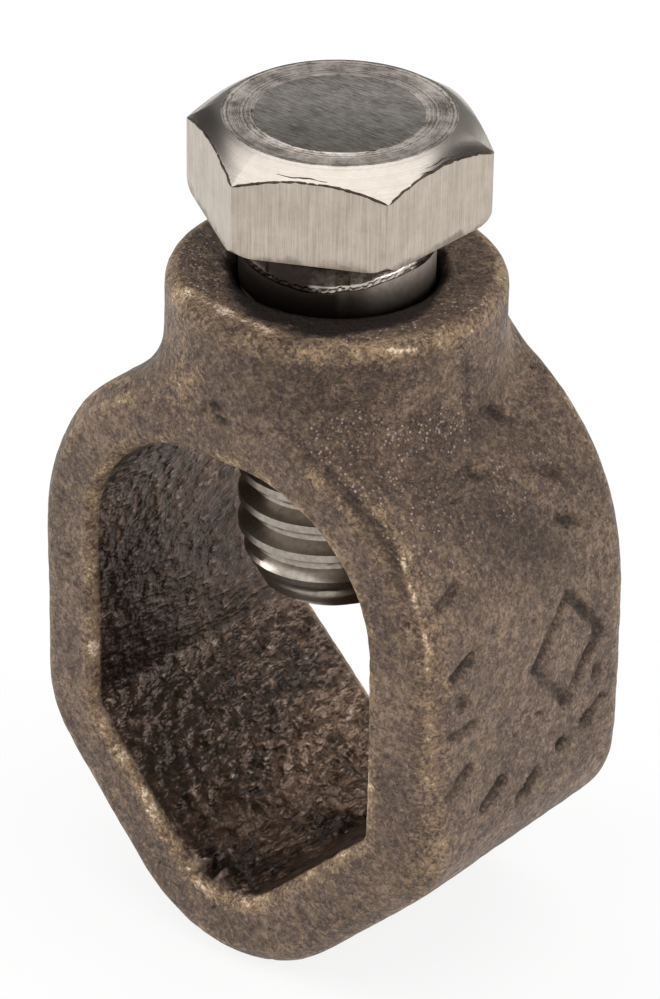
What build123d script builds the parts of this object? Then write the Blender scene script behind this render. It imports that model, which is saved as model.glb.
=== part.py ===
"""Ground rod clamp: a cast bronze body with a vee seat, closed by one hex-head bolt.

The origin is the axis of the seated rod, on the axis of the bolt. The rod runs along Y and the bolt
along Z, with its head at +Z. All sizes are in millimetres.
"""

import os
from math import radians, sin, tan

from build123d import *

os.makedirs("parts", exist_ok=True)

# Rod that the seat is drawn for
rod_diameter = 12.7

# Opening of the body
opening_width = 17.4
arch_height = 17.3
arch_radius = 7.5
seat_angle = 90.0
seat_root_radius = 4.0
seat_corner_radius = 1.0
opening_edge_break = 0.4

# Wall round the opening, and the roundings of its outline
wall = 4.1
seat_wall = 4.0
crown_wall = 3.7
shoulder_radius = 12.3
hip_radius = 5.5
keel_radius = 8.5
face_margin = 0.1
face_crown = 0.7
outer_edge_chamfer = 0.9
outer_edge_radius = 0.6

# Boss that carries the bolt
boss_wall = 3.4375
boss_height = 3.8
boss_root_radius = 2.4
boss_rim_radius = 0.9

# Bolt, three-eighths coarse thread, left plain at its major diameter
bolt_diameter = 9.525
bolt_length = 20.0
bolt_clearance = 0.05
tip_diameter = 7.0
tip_chamfer_height = 1.1
neck_chamfer = 0.4

# Trimmed hex head
head_flats = 12.7
head_height = 4.9
head_gap = 3.1
head_turn = 28.0
head_top_diameter = 11.05
head_chamfer_angle = 33.0
head_foot_chamfer = 0.4
head_foot_height = 0.6
head_recess_diameter = 8.3
head_recess_depth = 0.15

# Mouth of the bolt hole
mouth_chamfer = 0.5

# Nearness used to pick edges and corners out
nearness = 0.01

# Levels and half sizes that follow
half_angle = radians(seat_angle / 2)
half_opening = opening_width / 2
half_width = half_opening + wall
seat_apex_z = -rod_diameter / 2 / sin(half_angle)
outer_apex_z = seat_apex_z - seat_wall / sin(half_angle)
seat_corner_z = seat_apex_z + half_opening / tan(half_angle)
hip_z = outer_apex_z + half_width / tan(half_angle)
crown_z = arch_height + crown_wall
boss_diameter = bolt_diameter + 2 * boss_wall
boss_top_z = crown_z + boss_height
head_foot_z = boss_top_z + head_gap
tip_z = head_foot_z - bolt_length
head_corner_radius = head_flats / 2 / sin(radians(60))
depth = boss_diameter + 2 * face_margin
side_depth = depth - 2 * face_crown
head_top_z = head_foot_z + head_height
head_chamfer_drop = (head_corner_radius - head_top_diameter / 2) * tan(radians(head_chamfer_angle))
thinnest_round = 0.1


def house_points(half, apex_z, corner_z, top_z):
    """A square top over a vee: the corners of the opening and of the body round it."""
    return [
        (0, apex_z),
        (half, corner_z),
        (half, top_z),
        (-half, top_z),
        (-half, corner_z),
    ]


with BuildPart() as body:
    # Blank deeper than the body, so that the foot of the boss can be rounded all the way round
    with BuildSketch(Plane.XZ) as outline:
        with BuildLine():
            Polyline(*house_points(half_width, outer_apex_z, hip_z, crown_z), close=True)
        make_face()
        fillet(outline.vertices().group_by(Axis.Y)[0], radius=keel_radius)
        fillet(outline.vertices().group_by(Axis.Y)[-1], radius=min(shoulder_radius, half_width - thinnest_round))
        hips = outline.vertices().filter_by(lambda v: abs(v.Y - hip_z) < nearness)
        fillet(hips, radius=hip_radius)
    extrude(amount=depth, both=True)
    with BuildSketch(Plane.XY.offset(arch_height)):
        Circle(boss_diameter / 2)
    extrude(amount=boss_top_z - arch_height)
    boss_foot = body.edges(Select.LAST).filter_by(lambda e: e.center().Z < boss_top_z - nearness)
    fillet(boss_foot.filter_by(lambda e: e.center().Z > arch_height), radius=boss_root_radius)
    fillet(body.edges().group_by(Axis.Z)[-1], radius=boss_rim_radius)
    # Front and rear faces, crowned so that the casting draws from the sand
    with BuildSketch(Plane.XY.offset(outer_apex_z)):
        with BuildLine():
            front = ThreePointArc((-half_width, -side_depth / 2), (0, -depth / 2), (half_width, -side_depth / 2))
            rear = ThreePointArc((half_width, side_depth / 2), (0, depth / 2), (-half_width, side_depth / 2))
            Line(front @ 1, rear @ 0)
            Line(rear @ 1, front @ 0)
        make_face()
    extrude(amount=boss_top_z - outer_apex_z, mode=Mode.INTERSECT)
    crowned = body.faces().sort_by(Axis.Y)
    chamfer(crowned[0].edges() + crowned[-1].edges(), length=outer_edge_chamfer)
    crowned = body.faces().sort_by(Axis.Y)
    fillet(crowned[0].edges() + crowned[-1].edges(), radius=outer_edge_radius)
    # Opening for the rod, through from front to rear, with its mouths broken
    with BuildSketch(Plane.XZ) as opening:
        with BuildLine():
            Polyline(*house_points(half_opening, seat_apex_z, seat_corner_z, arch_height), close=True)
        make_face()
        fillet(opening.vertices().group_by(Axis.Y)[0], radius=seat_root_radius)
        fillet(opening.vertices().group_by(Axis.Y)[-1], radius=min(arch_radius, half_opening - thinnest_round))
        corners = opening.vertices().filter_by(lambda v: abs(v.Y - seat_corner_z) < nearness)
        fillet(corners, radius=seat_corner_radius)
    extrude(amount=depth, both=True, mode=Mode.SUBTRACT)
    mouths = body.edges(Select.LAST).filter_by(lambda e: abs(e.center().Y) > depth / 4)
    chamfer(mouths, length=opening_edge_break)
    # Hole for the bolt
    with BuildSketch(Plane.XY):
        Circle(bolt_diameter / 2 + bolt_clearance)
    extrude(amount=boss_top_z, mode=Mode.SUBTRACT)
    mouth = body.edges().filter_by(GeomType.CIRCLE).group_by(Axis.Z)[-1].sort_by(SortBy.RADIUS)[0]
    chamfer(mouth, length=mouth_chamfer)

body.part.label = "clamp_body"
export_step(body.part, "parts/clamp_body.step")

with BuildPart() as bolt:
    # Six-sided bar for the head
    with BuildSketch(Plane.XY.offset(head_foot_z)):
        RegularPolygon(radius=head_flats / 2, side_count=6, major_radius=False, rotation=head_turn)
    extrude(amount=head_height)
    # Turned outline of the head: the chamfer on top and the trimmed corners underneath
    with BuildSketch(Plane.XZ) as turning:
        with BuildLine():
            Polyline(
                (0, head_foot_z),
                (head_corner_radius - head_foot_chamfer, head_foot_z),
                (head_corner_radius, head_foot_z + head_foot_height),
                (head_corner_radius, head_top_z - head_chamfer_drop),
                (head_top_diameter / 2, head_top_z),
                (0, head_top_z),
                close=True,
            )
        make_face()
    revolve(axis=Axis.Z, mode=Mode.INTERSECT)
    with BuildSketch(Plane.XY.offset(head_top_z)):
        Circle(head_recess_diameter / 2)
    extrude(amount=-head_recess_depth, mode=Mode.SUBTRACT)
    # Shank, with its cone under the head and its chamfered tip
    with BuildSketch(Plane.XY.offset(head_foot_z)):
        Circle(bolt_diameter / 2)
    extrude(amount=-bolt_length)
    neck = bolt.edges().filter_by(GeomType.CIRCLE).filter_by(lambda e: abs(e.center().Z - head_foot_z) < nearness)
    chamfer(neck.sort_by(SortBy.RADIUS)[0], length=neck_chamfer)
    tip = bolt.edges().group_by(Axis.Z)[0]
    chamfer(tip, length=(bolt_diameter - tip_diameter) / 2, length2=tip_chamfer_height)

bolt.part.label = "clamp_bolt"
export_step(bolt.part, "parts/clamp_bolt.step")
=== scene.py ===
import math
import bmesh
import bpy
import numpy as np
from mathutils import Matrix, Vector, noise


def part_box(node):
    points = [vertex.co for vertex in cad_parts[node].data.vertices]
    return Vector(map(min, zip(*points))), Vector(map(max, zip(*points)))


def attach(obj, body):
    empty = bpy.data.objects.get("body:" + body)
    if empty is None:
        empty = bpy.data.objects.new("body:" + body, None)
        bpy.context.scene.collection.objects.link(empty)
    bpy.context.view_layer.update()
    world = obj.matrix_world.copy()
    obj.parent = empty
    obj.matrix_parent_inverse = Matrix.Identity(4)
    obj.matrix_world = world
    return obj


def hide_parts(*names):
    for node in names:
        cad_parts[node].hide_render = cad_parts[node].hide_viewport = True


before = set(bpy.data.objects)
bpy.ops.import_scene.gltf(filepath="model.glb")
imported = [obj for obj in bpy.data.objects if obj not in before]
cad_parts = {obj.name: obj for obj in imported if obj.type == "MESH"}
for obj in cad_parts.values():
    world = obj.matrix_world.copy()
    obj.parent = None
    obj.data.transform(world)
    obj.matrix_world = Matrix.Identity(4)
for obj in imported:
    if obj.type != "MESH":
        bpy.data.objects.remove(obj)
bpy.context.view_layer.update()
mm = 0.001
boltLow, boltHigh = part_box("clamp_bolt")
bodyLow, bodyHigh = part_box("clamp_body")
headHeight = 4.9 * mm
headTopZ = boltHigh.z
headFootZ = headTopZ - headHeight
print("stage: frame loaded")


def smoothStep(value, low, high):
    t = np.clip((value - low) / (high - low), 0.0, 1.0)
    return t * t * (3.0 - 2.0 * t)


def linearColour(hexValue):
    channels = [int(hexValue[i:i + 2], 16) / 255 for i in (1, 3, 5)]
    return [c / 12.92 if c <= 0.04045 else ((c + 0.055) / 1.055) ** 2.4 for c in channels] + [1.0]


# One node with its settings, the values of its sockets, and links into them from sockets or from
# whole nodes, which stand for their first output in use
def addNode(tree, kind, settings=None, values=None, links=None):
    node = tree.nodes.new(kind)
    for name, value in (settings or {}).items():
        setattr(node, name, value)
    for name, value in (values or {}).items():
        node.inputs[name].default_value = value
    for name, source in (links or {}).items():
        if isinstance(source, bpy.types.Node):
            source = next(output for output in source.outputs if output.enabled)
        tree.links.new(source, node.inputs[name])
    return node


# Settings that many nodes share
mixColours = {"data_type": "RGBA"}
mixNumbers = {"data_type": "FLOAT"}
times = {"operation": "MULTIPLY"}
timesPlus = {"operation": "MULTIPLY_ADD"}
largest = {"operation": "MAXIMUM"}
eased = {"interpolation_type": "SMOOTHSTEP"}
ownPattern = {"noise_dimensions": "4D"}  # its W makes it unlike the others


def newMaterial(name):
    material = bpy.data.materials.new(name)
    material.use_nodes = True
    material.node_tree.nodes.clear()
    return material, material.node_tree


# Stops are pairs of a position and a hex colour
def setStops(ramp, stops):
    elements = ramp.color_ramp.elements
    while len(elements) > 1:
        elements.remove(elements[-1])
    elements[0].position, elements[0].color = stops[0][0], linearColour(stops[0][1])
    for position, colour in stops[1:]:
        elements.new(position).color = linearColour(colour)


def newObject(name, data):
    thing = bpy.data.objects.new(name, data)
    bpy.context.scene.collection.objects.link(thing)
    return thing


def meshOf(bm, name):
    mesh = bpy.data.meshes.new(name)
    bm.to_mesh(mesh)
    bm.free()
    return mesh


# A mesh with the modifiers of an object applied
def evaluatedMesh(thing):
    depsgraph = bpy.context.evaluated_depsgraph_get()
    return bpy.data.meshes.new_from_object(thing.evaluated_get(depsgraph))


def appliedMesh(mesh, kind, settings):
    temporary = newObject("temporary", mesh)
    modifier = temporary.modifiers.new(kind, kind)
    for name, value in settings.items():
        setattr(modifier, name, value)
    result = evaluatedMesh(temporary)
    bpy.data.objects.remove(temporary)
    return result


def finishedPiece(name, mesh, materials, body):
    mesh.name = name
    piece = newObject(name, mesh)
    for material in materials:
        mesh.materials.append(material)
    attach(piece, body)
    return piece


# Camera, matched to the photograph by its edges
cameraSetup = {
    "azimuth": 39.93,
    "elevation": 31.143,
    "roll": 1.008,
    "distance": 237.378 * mm,
    "aim": (0.0, 0.0, 12.7 * mm),
    "aimShift": (-0.145 * mm, -0.792 * mm),
    "focalPixels": 4889.68,
    "imageHeight": 999,
    "sensor": 36.0,
    "clip": (0.01, 10.0),
}


def makeCamera(setup):
    a, e, roll = (math.radians(setup[k]) for k in ("azimuth", "elevation", "roll"))
    back = Vector((math.sin(a) * math.cos(e), -math.cos(a) * math.cos(e), math.sin(e)))
    right = Vector((math.cos(a), math.sin(a), 0.0))
    up = back.cross(right)
    aim = Vector(setup["aim"]) + right * setup["aimShift"][0] + up * setup["aimShift"][1]
    data = bpy.data.cameras.new("productCamera")
    data.sensor_fit = "AUTO"
    data.sensor_width = setup["sensor"]
    data.lens = setup["focalPixels"] * setup["sensor"] / setup["imageHeight"]
    data.clip_start, data.clip_end = setup["clip"]
    camera = newObject("productCamera", data)
    rolledRight = right * math.cos(roll) + up * math.sin(roll)
    rolledUp = up * math.cos(roll) - right * math.sin(roll)
    turn = Matrix((rolledRight, rolledUp, back)).transposed().to_4x4()
    camera.matrix_world = Matrix.Translation(aim + back * setup["distance"]) @ turn
    bpy.context.scene.camera = camera


makeCamera(cameraSetup)
print("stage: camera")

# Sand-cast bronze: the skin keeps the felted grain of the sand, is dull brown with tarnish, and rubs
# golden on its edges; the core left the inside of the opening wrinkled, with a dark glossy scale
bronze = {
    "shade": "#2a201a",
    "tarnish": "#604d40",
    "dust": "#7e6858",
    "bloom": "#a99079",
    "violet": "#5b4e50",
    "copper": "#8f684e",
    "olive": "#746849",
    "rubbed": "#b09677",
    "polishHighlight": "#f0dcc6",
    "sootAndShade": "#2f2723",
    "copperGlint": "#c99c7a",
    "lilacGlint": "#cdbfc2",
    "scaleHighlight": "#b9a698",
    "scaleTop": "#7d6657",
    "scaleMiddle": "#594536",
    "scaleDeep": "#2c2523",
    "skinStops": [(0.44, "shade"), (0.49, "tarnish"), (0.53, "dust"), (0.57, "bloom")],
    "leanStops": [(0.36, "olive"), (0.46, "dust"), (0.54, "tarnish"), (0.60, "violet"), (0.68, "copper")],
    "scaleStops": [(0.40, "scaleDeep"), (0.49, "scaleMiddle"), (0.60, "scaleTop")],
    "noises": {
        "fine": {"size": 0.22 * mm, "Detail": 4.0, "Roughness": 0.78, "Distortion": 0.5},
        "coarse": {"size": 0.55 * mm, "Detail": 4.0, "Roughness": 0.65, "Distortion": 0.3},
        "patches": {"size": 3.2 * mm, "Detail": 4.0, "Roughness": 0.6},
        "tint": {"size": 0.96 * mm, "Detail": 5.0, "Roughness": 0.75, "W": 3.0},
        "swirl": {"size": 0.40 * mm, "Detail": 1.0, "Roughness": 0.5, "Distortion": 0.8, "W": 7.0},
        "speck": {"size": 0.17 * mm, "Detail": 3.0, "Roughness": 0.6, "W": 9.0},
        "wrinkle": {"size": 0.27 * mm, "Detail": 1.0, "Roughness": 0.45, "W": 5.0},
    },
    "wrinkleStretch": (1.0, 0.55, 1.0),
    "grainHeight": 0.20 * mm,
    "wrinkleHeight": 0.07 * mm,
    "fineShare": 0.52,
    "coarseShare": 0.28,
    "patchShare": 0.20,
    "leanShare": 0.38,
    "mottleShare": 0.45,
    "scaleShare": 0.85,
    "threadSpan": {"From Min": 0.0, "From Max": 0.04, "To Min": 0.30, "To Max": 0.0},
    "dotSpan": {"From Min": 0.48, "From Max": 0.22},
    "litGranular": 0.42,
    "litSpan": {"From Min": 0.96, "From Max": 1.10},
    "rubGrain": 1.7,
    "rubbedSpan": {"From Min": 1.10, "From Max": 1.75},
    "polishHighlightSpan": {"From Min": 1.55, "From Max": 1.85},
    "dashSpan": {"From Min": 0.57, "From Max": 0.78, "To Max": 0.7},
    "skinRoughness": {"From Min": 0.35, "From Max": 0.75, "To Min": 0.58, "To Max": 0.36},
    "scaleRoughness": 0.32,
    "skinMetal": {"To Min": 0.45, "To Max": 0.9},
    "scaleMetal": 0.75,
    "fineHeight": 0.8,
    "wrinkleHeightShare": 2.0,
}


def makeBronze(b):
    material, tree = newMaterial("sandCastBronze")
    place = addNode(tree, "ShaderNodeTexCoord").outputs["Object"]
    worn, hollow, core, granular = (
        addNode(tree, "ShaderNodeAttribute", {"attribute_name": name}).outputs["Fac"]
        for name in ("worn", "hollow", "core", "granular"))
    drawn = addNode(tree, "ShaderNodeMapping", None, {"Scale": b["wrinkleStretch"]}, {"Vector": place})
    # fine and coarse are the grain of the sand, patches and tint the tarnish, swirl the threads in it,
    # speck the grains that catch the light, and wrinkle the skin that the core left
    noises = {}
    for name, row in b["noises"].items():
        values = {socket: value for socket, value in row.items() if socket != "size"}
        at = drawn if name == "wrinkle" else place
        noises[name] = addNode(tree, "ShaderNodeTexNoise", ownPattern if "W" in row else None,
                               {"Scale": 1 / row["size"], **values}, {"Vector": at})
    fine, coarse, patches, wrinkle = (noises[name] for name in ("fine", "coarse", "patches", "wrinkle"))
    fineTone = addNode(tree, "ShaderNodeMath", times, {1: b["fineShare"]}, {0: fine})
    withPebbles = addNode(tree, "ShaderNodeMath", timesPlus, {1: b["coarseShare"]}, {0: coarse, 2: fineTone})
    tone = addNode(tree, "ShaderNodeMath", timesPlus, {1: b["patchShare"]}, {0: patches, 2: withPebbles})
    mottle = addNode(tree, "ShaderNodeMix", mixNumbers, {0: b["mottleShare"]}, {2: coarse, 3: patches})
    ramps = {}
    for stops, factor in (("skinStops", tone), ("leanStops", noises["tint"]), ("scaleStops", mottle)):
        ramps[stops] = addNode(tree, "ShaderNodeValToRGB", None, None, {"Fac": factor})
        setStops(ramps[stops], [(at, b[name]) for at, name in b[stops]])
    # the tarnish leans to violet, copper and olive from place to place
    colour = addNode(tree, "ShaderNodeMix", mixColours, {0: b["leanShare"]},
                     {6: ramps["skinStops"], 7: ramps["leanStops"]})
    # pale threads swirl through the grain where its middle level is crossed
    offMiddle = addNode(tree, "ShaderNodeMath", {"operation": "ADD"}, {1: -0.5}, {0: noises["swirl"]})
    aside = addNode(tree, "ShaderNodeMath", {"operation": "ABSOLUTE"}, None, {0: offMiddle})
    threadShare = addNode(tree, "ShaderNodeMapRange", None, b["threadSpan"], {"Value": aside})
    colour = addNode(tree, "ShaderNodeMix", mixColours, {7: linearColour(b["bloom"])},
                     {0: threadShare, 6: colour})
    # painted glints: single grains are coloured light as if they caught the lamps, most of them where the
    # skin is granular
    cells = addNode(tree, "ShaderNodeTexVoronoi", None, {"Scale": 1 / b["noises"]["speck"]["size"]},
                    {"Vector": place})
    dot = addNode(tree, "ShaderNodeMapRange", eased, b["dotSpan"], {"Value": cells.outputs["Distance"]})
    draw = addNode(tree, "ShaderNodeSeparateColor", None, None, {0: cells.outputs["Color"]})
    chosen = addNode(tree, "ShaderNodeMath", timesPlus, {1: b["litGranular"]},
                     {0: granular, 2: draw.outputs["Red"]})
    litCell = addNode(tree, "ShaderNodeMapRange", None, b["litSpan"], {"Value": chosen})
    litShare = addNode(tree, "ShaderNodeMath", times, None, {0: litCell, 1: dot})
    glintColour = addNode(tree, "ShaderNodeMix", mixColours,
                          {6: linearColour(b["copperGlint"]), 7: linearColour(b["lilacGlint"])},
                          {0: draw.outputs["Green"]})
    colour = addNode(tree, "ShaderNodeMix", mixColours, None, {0: litShare, 6: colour, 7: glintColour})
    # golden rubbing shows on the tops of the grain first, and on the tops of that a near-white painted
    # highlight over the polish
    rub = addNode(tree, "ShaderNodeMath", timesPlus, {1: b["rubGrain"]}, {0: fine, 2: worn})
    rubbed, shine = (addNode(tree, "ShaderNodeMapRange", eased, b[span], {"Value": rub})
                     for span in ("rubbedSpan", "polishHighlightSpan"))
    for share, over in ((rubbed, "rubbed"), (shine, "polishHighlight")):
        colour = addNode(tree, "ShaderNodeMix", mixColours, {7: linearColour(b[over])}, {0: share, 6: colour})
    # the scale inside is mottled, with painted highlights in short dashes along the crests of its wrinkles
    dash = addNode(tree, "ShaderNodeMapRange", eased, b["dashSpan"], {"Value": wrinkle})
    dashed = addNode(tree, "ShaderNodeMix", mixColours, {7: linearColour(b["scaleHighlight"])},
                     {0: dash, 6: ramps["scaleStops"]})
    coreShare = addNode(tree, "ShaderNodeMath", times, {1: b["scaleShare"]}, {0: core})
    colour = addNode(tree, "ShaderNodeMix", mixColours, None, {0: coreShare, 6: colour, 7: dashed})
    # soot, sand and painted shade left in hollows darken the troughs of the grain most
    relief = addNode(tree, "ShaderNodeMix", mixNumbers, None, {0: core, 2: fine, 3: wrinkle})
    sootAndShadeGrain = addNode(tree, "ShaderNodeMath", timesPlus, {1: -1.0, 2: 0.5}, {0: relief})
    sootAndShade = addNode(tree, "ShaderNodeMath", {**timesPlus, "use_clamp": True}, None,
                   {0: sootAndShadeGrain, 1: hollow, 2: hollow})
    colour = addNode(tree, "ShaderNodeMix", mixColours, {7: linearColour(b["sootAndShade"])}, {0: sootAndShade, 6: colour})
    skinRoughness = addNode(tree, "ShaderNodeMapRange", None, b["skinRoughness"], {"Value": noises["speck"]})
    roughness = addNode(tree, "ShaderNodeMix", mixNumbers, {3: b["scaleRoughness"]},
                        {0: core, 2: skinRoughness})
    skinMetal = addNode(tree, "ShaderNodeMapRange", None, b["skinMetal"], {"Value": rubbed})
    scaleOrSootAndShade = addNode(tree, "ShaderNodeMath", largest, None, {0: sootAndShade, 1: core})
    metal = addNode(tree, "ShaderNodeMix", mixNumbers, {3: b["scaleMetal"]}, {0: scaleOrSootAndShade, 2: skinMetal})
    grainHeight = addNode(tree, "ShaderNodeMath", timesPlus, {1: b["fineHeight"]}, {0: fine, 2: coarse})
    speckHeight = addNode(tree, "ShaderNodeMath", times, None, {0: noises["speck"], 1: granular})
    skinHeight = addNode(tree, "ShaderNodeMath", {"operation": "ADD"}, None, {0: grainHeight, 1: speckHeight})
    scaleHeight = addNode(tree, "ShaderNodeMath", timesPlus, {1: b["wrinkleHeightShare"]},
                          {0: wrinkle, 2: coarse})
    height = addNode(tree, "ShaderNodeMix", mixNumbers, None, {0: core, 2: skinHeight, 3: scaleHeight})
    deep = addNode(tree, "ShaderNodeMapRange", None,
                   {"To Min": b["grainHeight"], "To Max": b["wrinkleHeight"]}, {"Value": core})
    bump = addNode(tree, "ShaderNodeBump", None, {"Strength": 1.0}, {"Height": height, "Distance": deep})
    shader = addNode(tree, "ShaderNodeBsdfPrincipled", None, None,
                     {"Base Color": colour, "Roughness": roughness, "Metallic": metal, "Normal": bump})
    addNode(tree, "ShaderNodeOutputMaterial", None, None, {"Surface": shader})
    return material


# Stainless steel, pale warm grey, in the finishes of its making: drawn flats have faint upright lines,
# turned faces have rings, the stamped disc is dull and scuffed, rolled thread is darker and nicked,
# and grease or rust lies on the rest
steelFinishes = {
    "drawnStainless": {"pale": "#c9beb1", "dark": "#a99d8f", "roughness": 0.34, "relief": 0.007 * mm,
                       "pattern": "lines", "span": (0.37, 0.62), "dirtyFoot": True},
    "turnedStainless": {"pale": "#c8bfb6", "dark": "#b1a89e", "roughness": 0.24, "relief": 0.003 * mm,
                        "pattern": "rings", "span": (0.36, 0.60)},
    "facedStainless": {"pale": "#eee4da", "dark": "#7a726a", "roughness": 0.38, "relief": 0.030 * mm,
                       "pattern": "rings", "span": (0.45, 0.55), "shadedFarSide": True},
    "brokenRing": {"pale": "#f4ebe2", "dark": "#4a433d", "roughness": 0.32, "relief": 0.020 * mm,
                   "pattern": "rings", "span": (0.46, 0.54), "shadedFarSide": True},
    "stampedStainless": {"pale": "#bab4ac", "dark": "#6b6762", "roughness": 0.40, "relief": 0.014 * mm,
                         "pattern": "scuffs", "span": (0.40, 0.62), "shadedFarSide": True},
    "rolledStainless": {"pale": "#b3a99e", "dark": "#8a8076", "roughness": 0.30, "relief": 0.004 * mm,
                        "pattern": "spots", "span": (0.36, 0.64)},
    "shankStainless": {"pale": "#b7ada2", "dark": "#948b80", "roughness": 0.40, "relief": 0.003 * mm,
                       "pattern": "spots", "span": (0.36, 0.64), "metallic": 0.45},
    "oiledStainless": {"pale": "#6a5f56", "dark": "#2c2623", "roughness": 0.26, "relief": 0.010 * mm,
                       "pattern": "spots", "span": (0.40, 0.60)},
    "burrStainless": {"pale": "#5a4f45", "dark": "#362e28", "roughness": 0.5, "relief": 0.010 * mm,
                      "pattern": "spots", "span": (0.36, 0.64)},
}
# Draw lines and scuffs are finer than the render shows, so theirs are drawn coarser
steelPatterns = {
    "lines": {"Scale": 1.0, "Detail": 4.0, "Roughness": 0.7},
    "lineSize": (0.085 * mm, 0.085 * mm, 3.0 * mm),
    "scuffs": {"Scale": 1.0, "Detail": 4.0, "Roughness": 0.75, "Distortion": 0.4},
    "scuffTurn": 5.0,
    "scuffLength": 0.8 * mm,
    "scuffWidth": 0.11 * mm,
    "rings": {"Scale": 1 / (0.10 * mm), "Detail": 4.0, "Roughness": 0.75},
    "ringWaver": 0.14 * mm,
    "ringRipple": (0.3 * mm, 0.20 * mm),
    "spots": {"Scale": 1 / (0.30 * mm), "Detail": 5.0, "Roughness": 0.7},
    "clouds": {"Scale": 1 / (1.1 * mm), "Detail": 5.0, "Roughness": 0.7},
    "cloudShare": 0.35,
    "shadeAxis": (0.642, -0.767, 0.0),
    "shadeSpan": {"From Min": -5.2 * mm, "From Max": -2.0 * mm, "To Min": 0.48},
    "footDirt": "#6b5c4d",
    "footRagged": -1.6 * mm,
    "footSpan": {"From Min": headFootZ - 0.30 * mm, "From Max": headFootZ - 0.75 * mm, "To Max": 0.7},
    "greaseAndShade": "#2b2420",
    "greaseAndShadeMetallic": 0.92,
    "roughnessSpread": (0.12, -0.10),
}


def makeSteel(name, finish):
    p = steelPatterns
    material, tree = newMaterial(name)
    place = addNode(tree, "ShaderNodeTexCoord").outputs["Object"]
    clouds = addNode(tree, "ShaderNodeTexNoise", None, p["clouds"], {"Vector": place})
    at = place
    if finish["pattern"] == "lines":
        at = addNode(tree, "ShaderNodeMapping", None, {"Scale": [1 / size for size in p["lineSize"]]},
                     {"Vector": place})
    elif finish["pattern"] == "scuffs":
        turned = addNode(tree, "ShaderNodeMapping", None,
                         {"Rotation": (0.0, 0.0, math.radians(-p["scuffTurn"]))}, {"Vector": place})
        at = addNode(tree, "ShaderNodeMapping", None,
                     {"Scale": (1 / p["scuffLength"], 1 / p["scuffWidth"], 0.0)}, {"Vector": turned})
    elif finish["pattern"] == "rings":
        rippleSize, rippleReach = p["ringRipple"]
        flat = addNode(tree, "ShaderNodeMapping", None, {"Scale": (1.0, 1.0, 0.0)}, {"Vector": place})
        radius = addNode(tree, "ShaderNodeVectorMath", {"operation": "LENGTH"}, None, {0: flat})
        ripple = addNode(tree, "ShaderNodeTexNoise", None, {"Scale": 1 / rippleSize, "Detail": 2.0},
                         {"Vector": place})
        wavy = addNode(tree, "ShaderNodeMath", timesPlus, {1: p["ringWaver"]},
                       {0: clouds, 2: radius.outputs["Value"]})
        bent = addNode(tree, "ShaderNodeMath", timesPlus, {1: rippleReach}, {0: ripple, 2: wavy})
        at = addNode(tree, "ShaderNodeCombineXYZ", None, None, {"X": bent})
    marks = addNode(tree, "ShaderNodeTexNoise", None, p[finish["pattern"]], {"Vector": at})
    marksShare = addNode(tree, "ShaderNodeMath", times, {1: 1 - p["cloudShare"]}, {0: marks})
    blend = addNode(tree, "ShaderNodeMath", timesPlus, {1: p["cloudShare"]}, {0: clouds, 2: marksShare})
    tone = addNode(tree, "ShaderNodeValToRGB", None, None, {"Fac": blend})
    setStops(tone, list(zip(finish["span"], (finish["dark"], finish["pale"]))))
    colour = tone
    if finish.get("shadedFarSide"):
        # painted shade: the top is darker on its side away from the front, where it mirrors less light
        across = addNode(tree, "ShaderNodeVectorMath", {"operation": "DOT_PRODUCT"}, {1: p["shadeAxis"]},
                         {0: place})
        gain = addNode(tree, "ShaderNodeMapRange", None, p["shadeSpan"], {"Value": across.outputs["Value"]})
        colour = addNode(tree, "ShaderNodeVectorMath", {"operation": "SCALE"}, None,
                         {0: colour, "Scale": gain})
    if finish.get("dirtyFoot"):
        # dirt along the foot of the flats
        level = addNode(tree, "ShaderNodeSeparateXYZ", None, None, {0: place}).outputs["Z"]
        ragged = addNode(tree, "ShaderNodeMath", timesPlus, {1: p["footRagged"]}, {0: clouds, 2: level})
        dirt = addNode(tree, "ShaderNodeMapRange", eased, p["footSpan"], {"Value": ragged})
        colour = addNode(tree, "ShaderNodeMix", mixColours, {7: linearColour(p["footDirt"])},
                         {0: dirt, 6: colour})
    # grease and painted shade on the neck darken it
    greaseAndShade = addNode(tree, "ShaderNodeAttribute", {"attribute_name": "greaseAndShade"}).outputs["Fac"]
    colour = addNode(tree, "ShaderNodeMix", mixColours, {7: linearColour(p["greaseAndShade"])}, {0: greaseAndShade, 6: colour})
    rougher, smoother = (finish["roughness"] + change for change in p["roughnessSpread"])
    polish = addNode(tree, "ShaderNodeMapRange", None, {"To Min": rougher, "To Max": smoother},
                     {"Value": blend})
    metal = addNode(tree, "ShaderNodeMapRange", None,
                    {"To Min": finish.get("metallic", 1.0), "To Max": p["greaseAndShadeMetallic"]}, {"Value": greaseAndShade})
    bump = addNode(tree, "ShaderNodeBump", None, {"Strength": 1.0, "Distance": finish["relief"]},
                   {"Height": marks})
    shader = addNode(tree, "ShaderNodeBsdfPrincipled", None, None,
                     {"Base Color": colour, "Metallic": metal, "Roughness": polish, "Normal": bump})
    addNode(tree, "ShaderNodeOutputMaterial", None, None, {"Surface": shader})
    return material


sandCastBronze = makeBronze(bronze)
steels = {name: makeSteel(name, finish) for name, finish in steelFinishes.items()}
print("stage: materials")

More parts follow.
